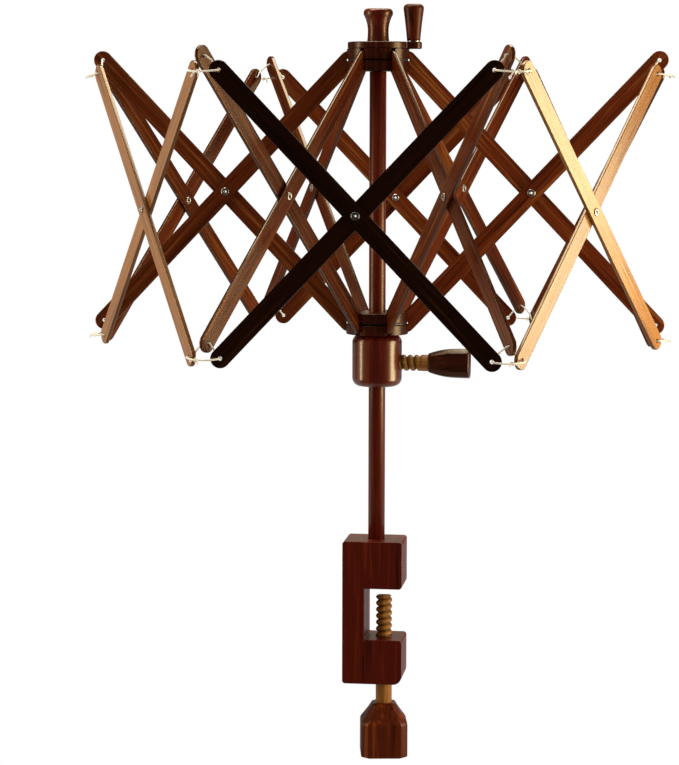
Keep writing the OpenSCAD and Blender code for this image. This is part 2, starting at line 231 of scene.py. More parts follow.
def wood(
    name, grain, tones, tone=None, pale=None,
    gloss=0.32, sheen=0.4, coat=0.05, coat_rough=0.12, pore=0.5,
):
    """Varnished timber: long streaks from dark to light, a slow drift of colour, dark veins, fine
    fibre and short open pores, all drawn out along the grain. A piece can carry an attribute that
    scales its colour, a tone that also carries painted light and shade, and one that mixes in the
    streaks of a lighter copy of the wood, as a painted light."""
    material, root = new_material(name)
    place = grain(root)
    drift = place.noise(DRIFT, detail=2)
    streak = place.noise(STREAK, detail=4, rough=0.62, warp=0.5)
    veins = place.noise(VEIN, detail=3, rough=0.6, warp=0.4).step(*VEIN_RANGE)
    fibre = place.noise(FIBRE, detail=2)
    pores = place.noise(PORES, detail=1).step(*PORE_RANGE)
    figure = streak * 0.74 + drift * 0.26

    def streaks(dark, middle, light):
        stops = tuple(zip(STREAK_STOPS, (dark, middle, middle, light)))
        return root.node("ValToRGB", {"stops": stops}, {"Fac": figure})

    color = streaks(*tones)
    # Painted light: a share of the lighter copy of the wood, on the boards that face the lamps
    if pale:
        share = root.node("Attribute", {"attribute_name": "pale"}, None, out="Fac")
        color = share.mix(color, streaks(*pale))
    shade = (0.72 + fibre * 0.5) * (1 - pores * pore) * (1 - veins * VEIN_DEPTH)
    # The attribute scales the colour by a tone that differs from board to board, and by painted light
    # and shade
    if tone:
        shade = shade * root.node("Attribute", {"attribute_name": tone}, None, out="Fac")
    relief = root.node("Bump", None, {"Height": 1 - pores, "Strength": 0.015, "Distance": RELIEF})
    finish_surface(
        root,
        Base_Color=color.tinted(shade),
        Roughness=gloss + fibre * 0.05 + pores * 0.06,
        Specular_IOR_Level=sheen,
        Specular_Tint=VARNISH,
        Coat_Weight=coat,
        Coat_Roughness=coat_rough,
        Normal=relief,
    )
    return material


def nickel(name, dull, bright, rough):
    """Steel, bright or dull: a little tarnish, and fine marks in its roughness."""
    material, root = new_material(name)
    place = per_mm(root.node("TexCoord", None, None, out="Object"))
    smear = place.noise((0.7, 0.7, 0.7), detail=4)
    marks = place.noise((6.0, 6.0, 6.0), detail=2)
    color = smear.step(0.35, 0.7).mix(dull, bright)
    finish_surface(
        root,
        Base_Color=color,
        Metallic=1.0,
        Roughness=rough + smear * 0.12 + marks * 0.08,
    )
    return material


def cotton():
    """White twisted cotton: a painted shade, darker between its strands, with fine fuzz."""
    material, root = new_material("cotton")
    place = per_mm(root.node("TexCoord", None, None, out="Object"))
    valley = root.node("Attribute", {"attribute_name": "valley"}, None, out="Fac")
    fuzz = place.noise((9.0, 9.0, 9.0), detail=3)
    # Painted shade: darker down between the strands
    color = valley.mix((0.90, 0.87, 0.79, 1), (0.52, 0.45, 0.35, 1))
    relief = root.node("Bump", None, {"Height": fuzz, "Strength": 0.35, "Distance": RELIEF})
    finish_surface(
        root,
        Base_Color=color.tinted(0.86 + fuzz * 0.24),
        Roughness=0.9,
        Sheen_Weight=0.3,
        Normal=relief,
    )
    return material


# Dark, middle and light streaks of each wood
ROSEWOOD = (0.022, 0.0014, 0.0006), (0.078, 0.0020, 0.0006), (0.16, 0.016, 0.003)
HUB_WOOD = (0.014, 0.0016, 0.0008), (0.036, 0.0032, 0.0012), (0.09, 0.015, 0.005)
KNOB_WOOD = (0.026, 0.0024, 0.0008), (0.080, 0.0080, 0.0012), (0.18, 0.034, 0.005)
SLAT_WOOD = (0.030, 0.0040, 0.0010), (0.100, 0.0170, 0.0040), (0.24, 0.078, 0.018)
# A lighter, more golden copy of the slat wood: painted light for the boards at the sides
PAINTED_LIGHT_WOOD = (0.16, 0.055, 0.014), (0.36, 0.160, 0.042), (0.56, 0.31, 0.10)
SCREW_WOOD = (0.12, 0.040, 0.008), (0.270, 0.105, 0.020), (0.44, 0.21, 0.055)

finishes = {
    "slat": wood(
        "slat_rosewood", own_grain, SLAT_WOOD, "tone", PAINTED_LIGHT_WOOD, gloss=0.17, sheen=0.6, coat=0.03
    ),
    "turned": wood("turned_rosewood", own_grain, ROSEWOOD, gloss=0.30, sheen=0.6),
    "knob": wood("knob_rosewood", own_grain, KNOB_WOOD, gloss=0.38, sheen=0.25),
    "dark_knob": wood("dark_knob_rosewood", own_grain, HUB_WOOD, gloss=0.30, sheen=0.5),
    "block": wood("block_rosewood", upright_grain, ROSEWOOD, gloss=0.36, sheen=0.3),
    "collar": wood(
        "collar_rosewood", upright_grain, ROSEWOOD, gloss=0.28, sheen=0.7, coat=0.5, coat_rough=0.17
    ),
    "hub": wood("hub_rosewood", upright_grain, HUB_WOOD, gloss=0.28),
    "screw": wood("screw_maple", own_grain, SCREW_WOOD, "tone", gloss=0.42, pore=0.3),
    "nickel": nickel("nickel", (0.36, 0.33, 0.29, 1), (0.66, 0.64, 0.61, 1), 0.26),
    "wire": nickel("dull_wire", (0.10, 0.08, 0.06, 1), (0.22, 0.19, 0.16, 1), 0.38),
    "cotton": cotton(),
}

# Surfaces

SAME_POINT = 1e-7


def grid_quads(rows, columns, closed=False):
    """Quads of a grid numbered row by row: its columns close on themselves, its rows if asked."""
    row = np.arange(rows if closed else rows - 1)[:, None]
    column = np.arange(columns)[None, :]
    here, there = row * columns, (row + 1) % rows * columns
    after = (column + 1) % columns
    corners = (here + column, here + after, there + after, there + column)
    return np.stack([np.broadcast_to(c, (len(row), columns)) for c in corners], -1).reshape(-1, 4)


def make_mesh(name, points, faces, grain=None, flat_faces=0, **values):
    """A mesh from points and faces, with doubles merged and attributes on its points.
    The last flat_faces faces keep their edges, the rest shade smoothly."""
    mesh = bpy.data.meshes.new(name)
    mesh.from_pydata(points.reshape(-1, 3), [], faces)
    if grain is not None:
        values["grain"] = grain.reshape(-1, 3)
    for label, value in values.items():
        kind, field = ("FLOAT_VECTOR", "vector") if np.ndim(value) > 1 else ("FLOAT", "value")
        attribute = mesh.attributes.new(label, kind, "POINT")
        attribute.data.foreach_set(field, np.ascontiguousarray(value, np.float32).ravel())
    smooth = np.arange(len(faces)) < len(faces) - flat_faces
    mesh.polygons.foreach_set("use_smooth", smooth)
    merged = bmesh.new()
    merged.from_mesh(mesh)
    bmesh.ops.remove_doubles(merged, verts=merged.verts, dist=SAME_POINT)
    merged.to_mesh(mesh)
    merged.free()
    mesh.update()
    return mesh


def add_piece(name, mesh, body, finish, stands_for=()):
    """A finished piece that rides on a body, in place of the nodes it stands for."""
    piece = bpy.data.objects.new(name, mesh)
    bpy.context.scene.collection.objects.link(piece)
    mesh.materials.clear()
    mesh.materials.append(finishes[finish])
    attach(piece, body)
    if stands_for:
        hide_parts(*stands_for)
    return piece


def corners(node):
    """A node's lowest and highest corners."""
    low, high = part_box(node)
    return np.array(low), np.array(high)


def unit(vector):
    return vector / np.linalg.norm(vector, axis=-1, keepdims=True)


def side_axes(axis):
    """Two directions square to an axis, right-handed with it."""
    guide = UP if abs(axis[2]) < 0.9 else np.array([1.0, 0.0, 0.0])
    side = unit(np.cross(guide, axis))
    return side, np.cross(axis, side)


def arc(start, stop, count):
    return np.linspace(math.radians(start), math.radians(stop), count)


def turned_points(profile, foot, axis, steps):
    """A turned form: each (radius, height) of a profile carried round the axis from its foot.
    Returns the points and the place of each along and across the grain, which follows the axis."""
    side, front = side_axes(axis)
    angle = np.linspace(0, TURN, steps, endpoint=False)
    radius, height = profile[..., 0:1], profile[..., 1:2]
    if profile.ndim == 2:
        radius, height = radius[:, None], height[:, None]
    east, north = radius * np.cos(angle)[None, :, None], radius * np.sin(angle)[None, :, None]
    height = np.broadcast_to(height, east.shape)
    return foot + height * axis + east * side + north * front, np.concatenate([height, east, north], -1)


def turned(name, profile, foot, axis, steps=72, closed=False, shift=0.0):
    """A mesh of a turned form, with its grain shifted so that no two pieces match."""
    points, grain = turned_points(np.asarray(profile, float), foot, axis, steps)
    return make_mesh(name, points, grid_quads(len(profile), steps, closed), grain=grain + shift)


# Slats

EASE = 0.55 * MM
EASE_STEPS = 4
END_STEPS = 33
HOLE_STEPS = 24
END_HOLE_R = 1.6 * MM
RIVET_HOLE_R = 1.55 * MM
HOLE_EASE = 0.3 * MM


def slat_place(node):
    """A slat's middle, its directions along, across and through it, and its size that way.
    The directions are the principal axes of the points that lie well away from its middle."""
    points = np.empty((len(nodes[node].data.vertices), 3), np.float32)
    nodes[node].data.vertices.foreach_get("co", points.ravel())
    points = points.astype(float)
    reach = np.linalg.norm(points - points.mean(0), axis=1)
    ends = points[reach > 0.5 * reach.max()]
    centre = ends.mean(0)
    directions = np.linalg.eigh(np.cov((ends - centre).T))[1].T[::-1]
    along = directions[0] * np.sign(directions[0][2])
    through = directions[2] * (1 if directions[2] @ centre > 0 else -1)
    axes = np.stack([along, np.cross(through, along), through])
    spread = (ends - centre) @ axes.T
    low, high = spread.min(0), spread.max(0)
    return centre + (low + high) / 2 @ axes, axes, high - low


def ring_points(radius, centre, rows):
    """Rows of circles (radius offset, height) round a centre on the slat's length."""
    angle = np.linspace(0, TURN, HOLE_STEPS, endpoint=False)
    size = radius + rows[:, 0:1]
    height = np.broadcast_to(rows[:, 1:2], (len(rows), HOLE_STEPS))
    return np.stack([centre + size * np.cos(angle), size * np.sin(angle), height], -1)


def eased_rows(thickness, ease):
    """A side wall from top to bottom, as (distance in from the edge, height), with eased edges."""
    angle = arc(0, 90, EASE_STEPS)
    top = np.stack([ease * (1 - np.sin(angle)), thickness / 2 - ease * (1 - np.cos(angle))], -1)
    return np.concatenate([top, top[::-1] * (1, -1)])


def slat_form(size):
    """A flat bar with round ends and three holes, about its own middle.
    The side wall is an eased profile carried round the outline, each hole has a wall like it, and
    each face is two flat halves that meet along the line through the holes."""
    length, width, thickness = size
    pitch = (length - width) / 2
    wall = eased_rows(thickness, EASE)
    angle = np.concatenate([arc(-90, 90, END_STEPS), arc(90, 270, END_STEPS)])
    end = np.repeat([pitch, -pitch], END_STEPS)
    radius = width / 2 - wall[:, 0:1]
    height = np.broadcast_to(wall[:, 1:2], (len(wall), len(angle)))
    outline = np.stack([end + radius * np.cos(angle), radius * np.sin(angle), height], -1)
    rows, around = outline.shape[:2]
    points, faces, edge = [outline.reshape(-1, 3)], [grid_quads(rows, around)[:, ::-1]], []
    # Rows of the side wall, which take a painted shade
    edge.append(np.repeat(np.r_[0, np.ones(rows - 2), 0], around))
    first = rows * around
    hole_starts = []
    hole_wall = eased_rows(thickness, HOLE_EASE)
    for centre, hole_r in ((-pitch, END_HOLE_R), (0.0, RIVET_HOLE_R), (pitch, END_HOLE_R)):
        ring = ring_points(hole_r, centre, hole_wall)
        points.append(ring.reshape(-1, 3))
        faces.append(grid_quads(len(ring), HOLE_STEPS) + first)
        edge.append(np.repeat(np.r_[0, np.ones(len(ring) - 2), 0], HOLE_STEPS))
        hole_starts.append(first)
        first += ring.shape[0] * HOLE_STEPS
    half, hole_half = END_STEPS // 2, HOLE_STEPS // 2
    tip, heel = half, END_STEPS + half
    upper = np.arange(tip, heel + 1)
    lower = np.arange(heel, tip + around + 1) % around
    over = [np.arange(hole_half, -1, -1) + s for s in hole_starts]
    under = [np.arange(HOLE_STEPS, hole_half - 1, -1) % HOLE_STEPS + s for s in hole_starts[::-1]]
    halves = [np.concatenate([upper, *over]), np.concatenate([lower, *under])]
    outline_foot = (rows - 1) * around
    hole_foot = (len(hole_wall) - 1) * HOLE_STEPS
    below = [np.where(h < around, h + outline_foot, h + hole_foot)[::-1] for h in halves]
    sides = [face.tolist() for face in np.concatenate(faces)]
    flats = [face.tolist() for face in halves + below]
    return np.concatenate(points), sides + flats, len(flats), np.concatenate(edge)


SLAT_KINDS = ("upper_rib", "lower_rib", "outer_slat", "inner_slat")
slat_names = [f"{kind}_{arm}" for kind in SLAT_KINDS for arm in ARMS]
# Boards that stand out from the rest: how light each is, and what share of the lighter copy of
# the wood is mixed in. The front pair is darkened as a painted shade, slats 4 and 6 are made
# lighter and paler as a painted light, and both ribs of arm 1 are made lighter
BOARDS = {
    "outer_slat_5": (0.13, 0.0),
    "inner_slat_5": (0.16, 0.0),
    "outer_slat_4": (1.15, 0.40),
    "inner_slat_4": (1.20, 0.45),
    "outer_slat_6": (1.25, 0.85),
    "inner_slat_6": (1.20, 0.55),
    "upper_rib_1": (1.5, 0.0),
    "lower_rib_1": (1.5, 0.0),
}
# Painted shade: how much darker the side walls and the walls of the holes of each board are
PAINTED_EDGE_SHADE = 0.55
BOARD_TONES = (0.85, 1.15)
GRAIN_SHIFT = 0.5


def add_slats():
    """Every rib and slat: one form, set down along each node's own directions."""
    form, faces, flat_faces, edge = slat_form(slat_place("upper_rib_1")[2])
    for name in slat_names:
        middle, axes, _ = slat_place(name)
        # Painted shade on the front pair and painted light on slats 4 and 6, as listed in BOARDS
        tone, pale = BOARDS.get(name, (random.uniform(*BOARD_TONES), 0))
        mesh = make_mesh(
            name + "_wood",
            middle + form @ axes,
            faces,
            grain=form + random.uniform(-GRAIN_SHIFT, GRAIN_SHIFT, 3),
            flat_faces=flat_faces,
            # painted shade on the side walls and hole walls, and painted light or shade on the listed
            # boards
            tone=tone * (1 - PAINTED_EDGE_SHADE * edge),
            pale=np.full(len(edge), pale),
        )
        add_piece(name + "_wood", mesh, nodes[name]["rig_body"], "slat", [name])


# Rivets

RIVET_HEAD_R = 3.2 * MM
RIVET_R = 1.5 * MM
RIVET_HOLLOW_R = 0.9 * MM
RIVET_HEAD_T = 0.9 * MM
RIVET_SLACK = 0.05 * MM
RIVET_DOME = 0.7
RIVET_STEPS = 32


def rivet_profile(face):
    """Half of a hollow rivet and its mirror image: a shank, a flat underside, a domed rim rolled
    over into the hollow, as a closed loop of (radius, height)."""
    over = arc(0, 180, 13)
    middle = (RIVET_HEAD_R + RIVET_HOLLOW_R) / 2
    half = (RIVET_HEAD_R - RIVET_HOLLOW_R) / 2
    rise = RIVET_HEAD_T * np.sin(over) ** RIVET_DOME
    rim = np.stack([middle + half * np.cos(over), face + rise], -1)
    top = np.concatenate([[[RIVET_R, face]], rim])
    return np.concatenate([top, top[::-1] * (1, -1)])


def add_rivets():
    """A rivet through each crossing of two ribs, and of two slats of the outer lattice."""
    for arm in ARMS:
        crossing = joints[f"lower_rib_{arm}_cross"]
        outer, axes, size = slat_place(f"outer_slat_{arm}")
        inner = slat_place(f"inner_slat_{arm}")[0]
        face = np.linalg.norm(outer - inner) / 2 + size[2] / 2 + RIVET_SLACK
        profile = rivet_profile(face)
        centre, axis = np.array(crossing["pos_m"]), np.array(crossing["axis"])
        name = f"rib_rivet_{arm}_ring"
        ring = turned(name, profile, centre, axis, RIVET_STEPS, closed=True)
        add_piece(name, ring, f"upper_rib_{arm}", "nickel", [f"rib_rivet_{arm}"])
        name = f"slat_rivet_{arm}_ring"
        ring = turned(name, profile, (outer + inner) / 2, axes[2], RIVET_STEPS, closed=True)
        add_piece(name, ring, f"outer_slat_{arm}", "nickel")


# Cord ties. The sizes of a tie's route are in millimetres, as in the part's source

SLAT_T = 3.0
FACE_GAP = 0.3
LATTICE_OUT = 5.0
SAG = 11.0
PIVOT_R = 23.4
CORD_R = 0.7 * MM
TAIL = (3.5 * MM, 6.0 * MM)
TAIL_ASIDE = (0.3, 0.9)
TAIL_RISE = (-0.3, 0.5)
TAIL_DROOP = (0.3, 0.9)
KNOT_POINT = 6.5
KNOT_SIZE = 1.0 * MM
KNOT_CORD_R = 0.78 * CORD_R
TAIL_CORD_R = 0.85 * CORD_R
LAY = 4.2 * MM
STRANDS = 3
STRAND_DEPTH = 0.26
CORD_SIDES = 18
CORD_STEP = 0.28 * MM


def face_point(side, along, out, height):
    """A point of the face on one side of a rib: along it from the rib's tip, and out from it."""
    cosine, sine = math.cos(math.radians(30)), math.sin(math.radians(30))
    return (out * cosine - along * sine, side * (along * cosine + out * sine), height)


def tie_route():
    """The points of a tie's loop, outward, along the ring and up from the rib's hole."""
    layer = (SLAT_T + FACE_GAP) / 2
    through = SLAT_T / 2 + CORD_R / MM + 0.3
    beside = layer + through
    near, far = LATTICE_OUT - layer, LATTICE_OUT + layer
    front, inset = LATTICE_OUT + 3.5, PIVOT_R / 2
    return np.array([
        (0, -beside, 0),
        face_point(-1, beside + 0.9, near - through - 0.8, -0.25 * SAG),
        face_point(-1, inset - 3, near - through - 0.6, -0.65 * SAG),
        face_point(-1, inset, near - through, -SAG),
        face_point(-1, inset, near + through, -SAG),
        (front - 2.5, -inset + 1.5, -SAG - 0.6),
        (front, -2.5, -SAG - 1),
        (front, 6, -SAG - 1),
        face_point(1, inset - 2, far + through + 1.6, -SAG - 0.3),
        face_point(1, inset, far + through, -SAG),
        face_point(1, inset, far - through, -SAG),
        face_point(1, inset - 3, far - through - 0.6, -0.6 * SAG),
        (0, through - layer + 0.6, -0.5),
    ]) * MM


def closed_curve(route, steps=24):
    """A smooth closed curve through a route: each stretch is a cubic set by its four nearest
    points."""
    before, here, after, beyond = (np.roll(route, shift, 0)[:, None] for shift in (1, 0, -1, -2))
    u = np.linspace(0, 1, steps, endpoint=False)[None, :, None]
    square = (2 * before - 5 * here + 4 * after - beyond) * u**2
    cube = (3 * here - before - 3 * after + beyond) * u**3
    return (0.5 * (2 * here + (after - before) * u + square + cube)).reshape(-1, 3)


def even_points(path, step, closed):
    """The same path with its points an even step apart."""
    line = np.vstack([path, path[:1]]) if closed else path
    length = np.concatenate([[0], np.cumsum(np.linalg.norm(np.diff(line, axis=0), axis=1))])
    count = max(8, round(length[-1] / step))
    want = np.linspace(0, length[-1], count, endpoint=not closed)
    return np.stack([np.interp(want, length, line[:, i]) for i in range(3)], -1), length[-1]


def cord_tube(path, radius, guide, closed, fray=None):
    """Twisted cord along a path: the radius dips in a helix between the strands.
    Returns points, quads and how deep in a valley each point lies."""
    points, length = even_points(path, CORD_STEP, closed)
    count = len(points)
    if closed:
        along = unit(np.roll(points, -1, 0) - np.roll(points, 1, 0))
    else:
        along = unit(np.gradient(points, axis=0))
    across = unit(np.cross(guide, along))
    over = np.cross(along, across)
    angle = np.linspace(0, TURN, CORD_SIDES, endpoint=False)[None, :]
    travel = np.linspace(0, 1, count, endpoint=not closed)[:, None]
    turns = round(length / LAY * STRANDS) / STRANDS
    lobe = np.abs(np.cos(STRANDS / 2 * (angle - TURN * turns * travel)))
    size = radius * (1 - STRAND_DEPTH + STRAND_DEPTH * lobe)
    if fray is not None:
        size = size * fray(travel)
    ring = np.cos(angle)[..., None] * across[:, None] + np.sin(angle)[..., None] * over[:, None]
    tube = points[:, None] + size[..., None] * ring
    return tube.reshape(-1, 3), grid_quads(count, CORD_SIDES, closed), (1 - lobe).ravel() ** 2


def knot_curve(centre, along, guide, size):
    """An overhand knot's core: a cord wound twice round the tie while it weaves in and out thrice."""
    side = unit(np.cross(guide, along))
    front = np.cross(along, side)
    t = np.linspace(0, TURN, 72, endpoint=False)[:, None]
    swing = 1 + 0.42 * np.cos(3 * t)
    wound = swing * (np.cos(2 * t) * side + np.sin(2 * t) * front)
    return centre + size * (wound + 0.75 * np.sin(3 * t) * along)


def tail_fray(travel):
    """A cut end: the cord starts from a point inside the knot, loosens as it goes and closes at
    its tip."""
    ends = np.clip(travel / 0.02, 0, 1) * np.clip((1 - travel) / 0.06, 0, 1)
    return (0.85 + 0.35 * travel**3) * np.sqrt(ends)


def tail_curve(centre, outward, along, droop, length):
    """A cord's cut end, leaving the knot along one way and bending down as it goes."""
    t = np.linspace(0, 1, 24)[:, None]
    return centre + length * (t * outward + 0.35 * np.sin(t * 2.2) * along - droop * t**2 * UP)


def join_tubes(tubes):
    """Several tubes as one set of points, quads and valleys."""
    starts = np.cumsum([0] + [len(points) for points, _, _ in tubes[:-1]])
    points = np.concatenate([points for points, _, _ in tubes])
    quads = np.concatenate([quads + start for (_, quads, _), start in zip(tubes, starts)])
    return points, quads, np.concatenate([valley for _, _, valley in tubes])


def add_ties():
    """A loop of cord at each tip of the ribs, with its knot and two cut ends on the outside."""
    route = tie_route()
    loop = closed_curve(route)
    knot_row = round(KNOT_POINT * len(loop) / len(route))
    for level, side in (("upper", 1), ("lower", -1)):
        for arm in ARMS:
            joint = joints[f"{level}_tie_{arm}_level"]
            along_ring = np.array(joint["axis"])
            outward = np.cross(along_ring, UP)
            place = np.stack([outward, side * along_ring, UP])
            path = np.array(joint["pos_m"]) + loop @ place
            guide = unit(0.6 * outward + 0.8 * UP)
            centre, ahead = path[knot_row], unit(path[knot_row + 1] - path[knot_row - 1])
            knot = knot_curve(centre, ahead, guide, KNOT_SIZE)
            tubes = [cord_tube(path, CORD_R, guide, True), cord_tube(knot, KNOT_CORD_R, ahead, True)]
            for way in (1, -1):
                aside = way * random.uniform(*TAIL_ASIDE) * ahead
                lean = unit(outward + aside + random.uniform(*TAIL_RISE) * UP)
                droop, length = random.uniform(*TAIL_DROOP), random.uniform(*TAIL)
                tail = tail_curve(centre, lean, way * ahead, droop, length)
                tubes.append(cord_tube(tail, TAIL_CORD_R, unit(np.cross(lean, UP)), False, tail_fray))
            points, quads, valley = join_tubes(tubes)
            name = f"{level}_tie_{arm}_cord"
            mesh = make_mesh(name, points, quads.tolist(), valley=valley)
            add_piece(name, mesh, f"{level}_tie_{arm}", "cotton", [f"{level}_tie_{arm}"])


# Post, finial and peg


def add_post():
    """The post, the finial that caps it and the crank peg: turned profiles of (radius, height)."""
    low, high = corners("shaft")
    radius = (high[0] - low[0]) / 2
    crown_gap, journal, ease = 0.3 * MM, 4.5 * MM, 0.4 * MM
    shoulder = corners("crown_hub")[0][2] - low[2] - crown_gap
    top = high[2] - low[2]
    profile = [
        (0, 0), (radius - ease, 0), (radius, ease), (radius, shoulder - ease),
        (radius - ease, shoulder), (journal, shoulder), (journal, top), (0, top),
    ]
    foot = np.array([0, 0, low[2]])
    rod = turned("shaft_rod", profile, foot, UP, 64, shift=0.2)
    add_piece("shaft_rod", rod, "post", "turned", ["shaft"])

    low, high = corners("finial")
    lip, height = (high[0] - low[0]) / 2, high[2] - low[2]
    base, neck, neck_at, lip_drop, lip_r = np.array([8.9, 8.3, 8.5, 4.7, 3.0]) * MM
    u = np.linspace(0, 1, 14)
    cove = np.stack([neck + (base - neck) * (1 - u) ** 2, neck_at * u], -1)
    rise = height - lip_drop - neck_at
    flare = np.stack([neck + (lip - neck) * u**2, neck_at + rise * u], -1)[1:]
    dome = arc(0, 90, 14)
    cap = np.stack([lip - lip_r * (1 - np.cos(dome)), height - lip_r * (1 - np.sin(dome))], -1)
    profile = np.concatenate([[[0, 0]], cove, flare, cap, [[0, height]]])
    foot = np.array([0, 0, low[2]])
    finial = turned("finial_turning", profile, foot, UP, 72, shift=0.35)
    add_piece("finial_turning", finial, "post", "turned", ["finial"])

    low, high = corners("crank_peg")
    wide, height = (high[1] - low[1]) / 2, high[2] - low[2]
    narrow, dome_h = 5.3 * MM, 3.5 * MM
    straight = height - dome_h
    side = np.stack([narrow + (wide - narrow) * (0.75 * u + 0.25 * u * u), straight * u], -1)
    cap = np.stack([wide - dome_h * (1 - np.cos(dome)), straight + dome_h * np.sin(dome)], -1)[1:]
    profile = np.concatenate([[[0, 0]], side, cap, [[0, height]]])
    foot = np.array([*((low + high) / 2)[:2], low[2]])
    peg = turned("crank_peg_turning", profile, foot, UP, 64, shift=0.55)
    add_piece("crank_peg_turning", peg, "crank_peg", "knob", ["crank_peg"])


# Screws and knobs

THREAD_PITCH = 5.3 * MM
THREAD_DEPTH = 2.2 * MM
SCREW_R = 6.6 * MM
TIP_EDGE = 1.0 * MM
# Painted shade: how much darker the thread is at its root than at its crest
PAINTED_ROOT_SHADE = 0.8
THREAD_STEP = 0.3 * MM
THREAD_SIDES = 72
CREST_POWER = 0.75
RUNOUT = 0.6 * THREAD_PITCH
THUMB_THREAD_OUT = 17 * MM
CLAMP_SHANK_IN = 6 * MM
KNOB_TURN = math.radians(-9)
KNOB_EASE = 1.3 * MM


def screw_points(length, threaded, foot, axis):
    """A wooden screw from its tip: the radius follows the rise of a helix, sharp at the root and
    round at the crest, and the thread runs out into a plain shank."""
    angle = np.linspace(0, TURN, THREAD_SIDES, endpoint=False)[None, :]
    height = np.linspace(0, length, round(length / THREAD_STEP))[:, None]
    phase = height / THREAD_PITCH - angle / TURN
    crest = np.abs(np.sin(math.pi * phase)) ** CREST_POWER
    runout = np.clip((threaded - height) / RUNOUT, 0, 1)
    radius = SCREW_R - THREAD_DEPTH * (1 - crest) * runout
    radius = np.minimum(radius, SCREW_R - TIP_EDGE + height)
    rows = np.stack([radius, np.broadcast_to(height, radius.shape)], -1)
    start = np.zeros((1, THREAD_SIDES, 2))
    end = np.broadcast_to([0, length], start.shape)
    profile = np.concatenate([start, rows, end])
    points, grain = turned_points(profile, foot, axis, THREAD_SIDES)
    # Painted shade, darker down in the thread's groove
    tone = np.pad(1 - PAINTED_ROOT_SHADE * (1 - crest) * runout, ((1, 1), (0, 0)), mode="edge")
    return points, grain, grid_quads(len(profile), THREAD_SIDES), tone.ravel()


def octagon(width, cut, ease):
    """A square with cut corners, each of its eight edges eased by an arc, as rows of points.
    An arc's centre is where the two sides beside it meet when they are moved in by the ease."""
    normals = np.arange(8) * math.pi / 4
    width, cut, ease = (np.asarray(v, float)[:, None] for v in (width, cut, ease))
    square = width / 2 - ease
    slant = (width - cut) / math.sqrt(2) - ease
    reach = np.where(np.arange(8) % 2 == 0, square, slant)
    after = np.roll(reach, -1, 1)
    bend = math.sin(math.pi / 4)
    turn = normals + math.pi / 4
    x = (reach * np.sin(turn) - after * np.sin(normals)) / bend
    y = (after * np.cos(normals) - reach * np.cos(turn)) / bend
    sweep = normals[:, None] + np.linspace(0, math.pi / 4, 4)[None, :]
    east = x[..., None] + ease[..., None] * np.cos(sweep)
    north = y[..., None] + ease[..., None] * np.sin(sweep)
    return east.reshape(len(width), -1), north.reshape(len(width), -1)


def knob_rows(length, width, neck, shoulder, bow, soft):
    """Heights and widths of a knob: a flat neck with a small bevel, shoulders that widen as a power
    of the height and run into the body as softly as asked, and a rounded end."""
    end_edge, neck_rise, neck_bevel = 1.8 * MM, 0.7 * MM, 1.6 * MM
    body = np.linspace(neck_rise, length - end_edge, 36)
    line = neck + (width - neck) * (body / shoulder) ** bow
    sides = (line + width - np.sqrt((line - width) ** 2 + soft**2)) / 2
    end = arc(0, 90, 7)[1:]
    heights = np.concatenate([[0, 0], body, length - end_edge + end_edge * np.sin(end), [length]])
    round_end = width - 2 * end_edge * (1 - np.cos(end))
    widths = np.concatenate([[0, neck - neck_bevel], sides, round_end, [0]])
    return heights, widths


def knob_mesh(name, foot, axis, length, width, neck, shoulder, cut, bow, soft, shift):
    """A turning knob: eased octagons set along an axis from its neck, turned about it."""
    heights, widths = knob_rows(length, width, neck, shoulder, bow, soft)
    share = widths / width
    east, north = octagon(widths, cut * share, KNOB_EASE * share)
    side, front = side_axes(axis)
    cosine, sine = math.cos(KNOB_TURN), math.sin(KNOB_TURN)
    side, front = cosine * side + sine * front, cosine * front - sine * side
    along = np.broadcast_to(heights[:, None], east.shape)
    points = foot + along[..., None] * axis + east[..., None] * side + north[..., None] * front
    grain = np.stack([along, east, north], -1) + shift
    return make_mesh(name, points, grid_quads(*east.shape), grain=grain)


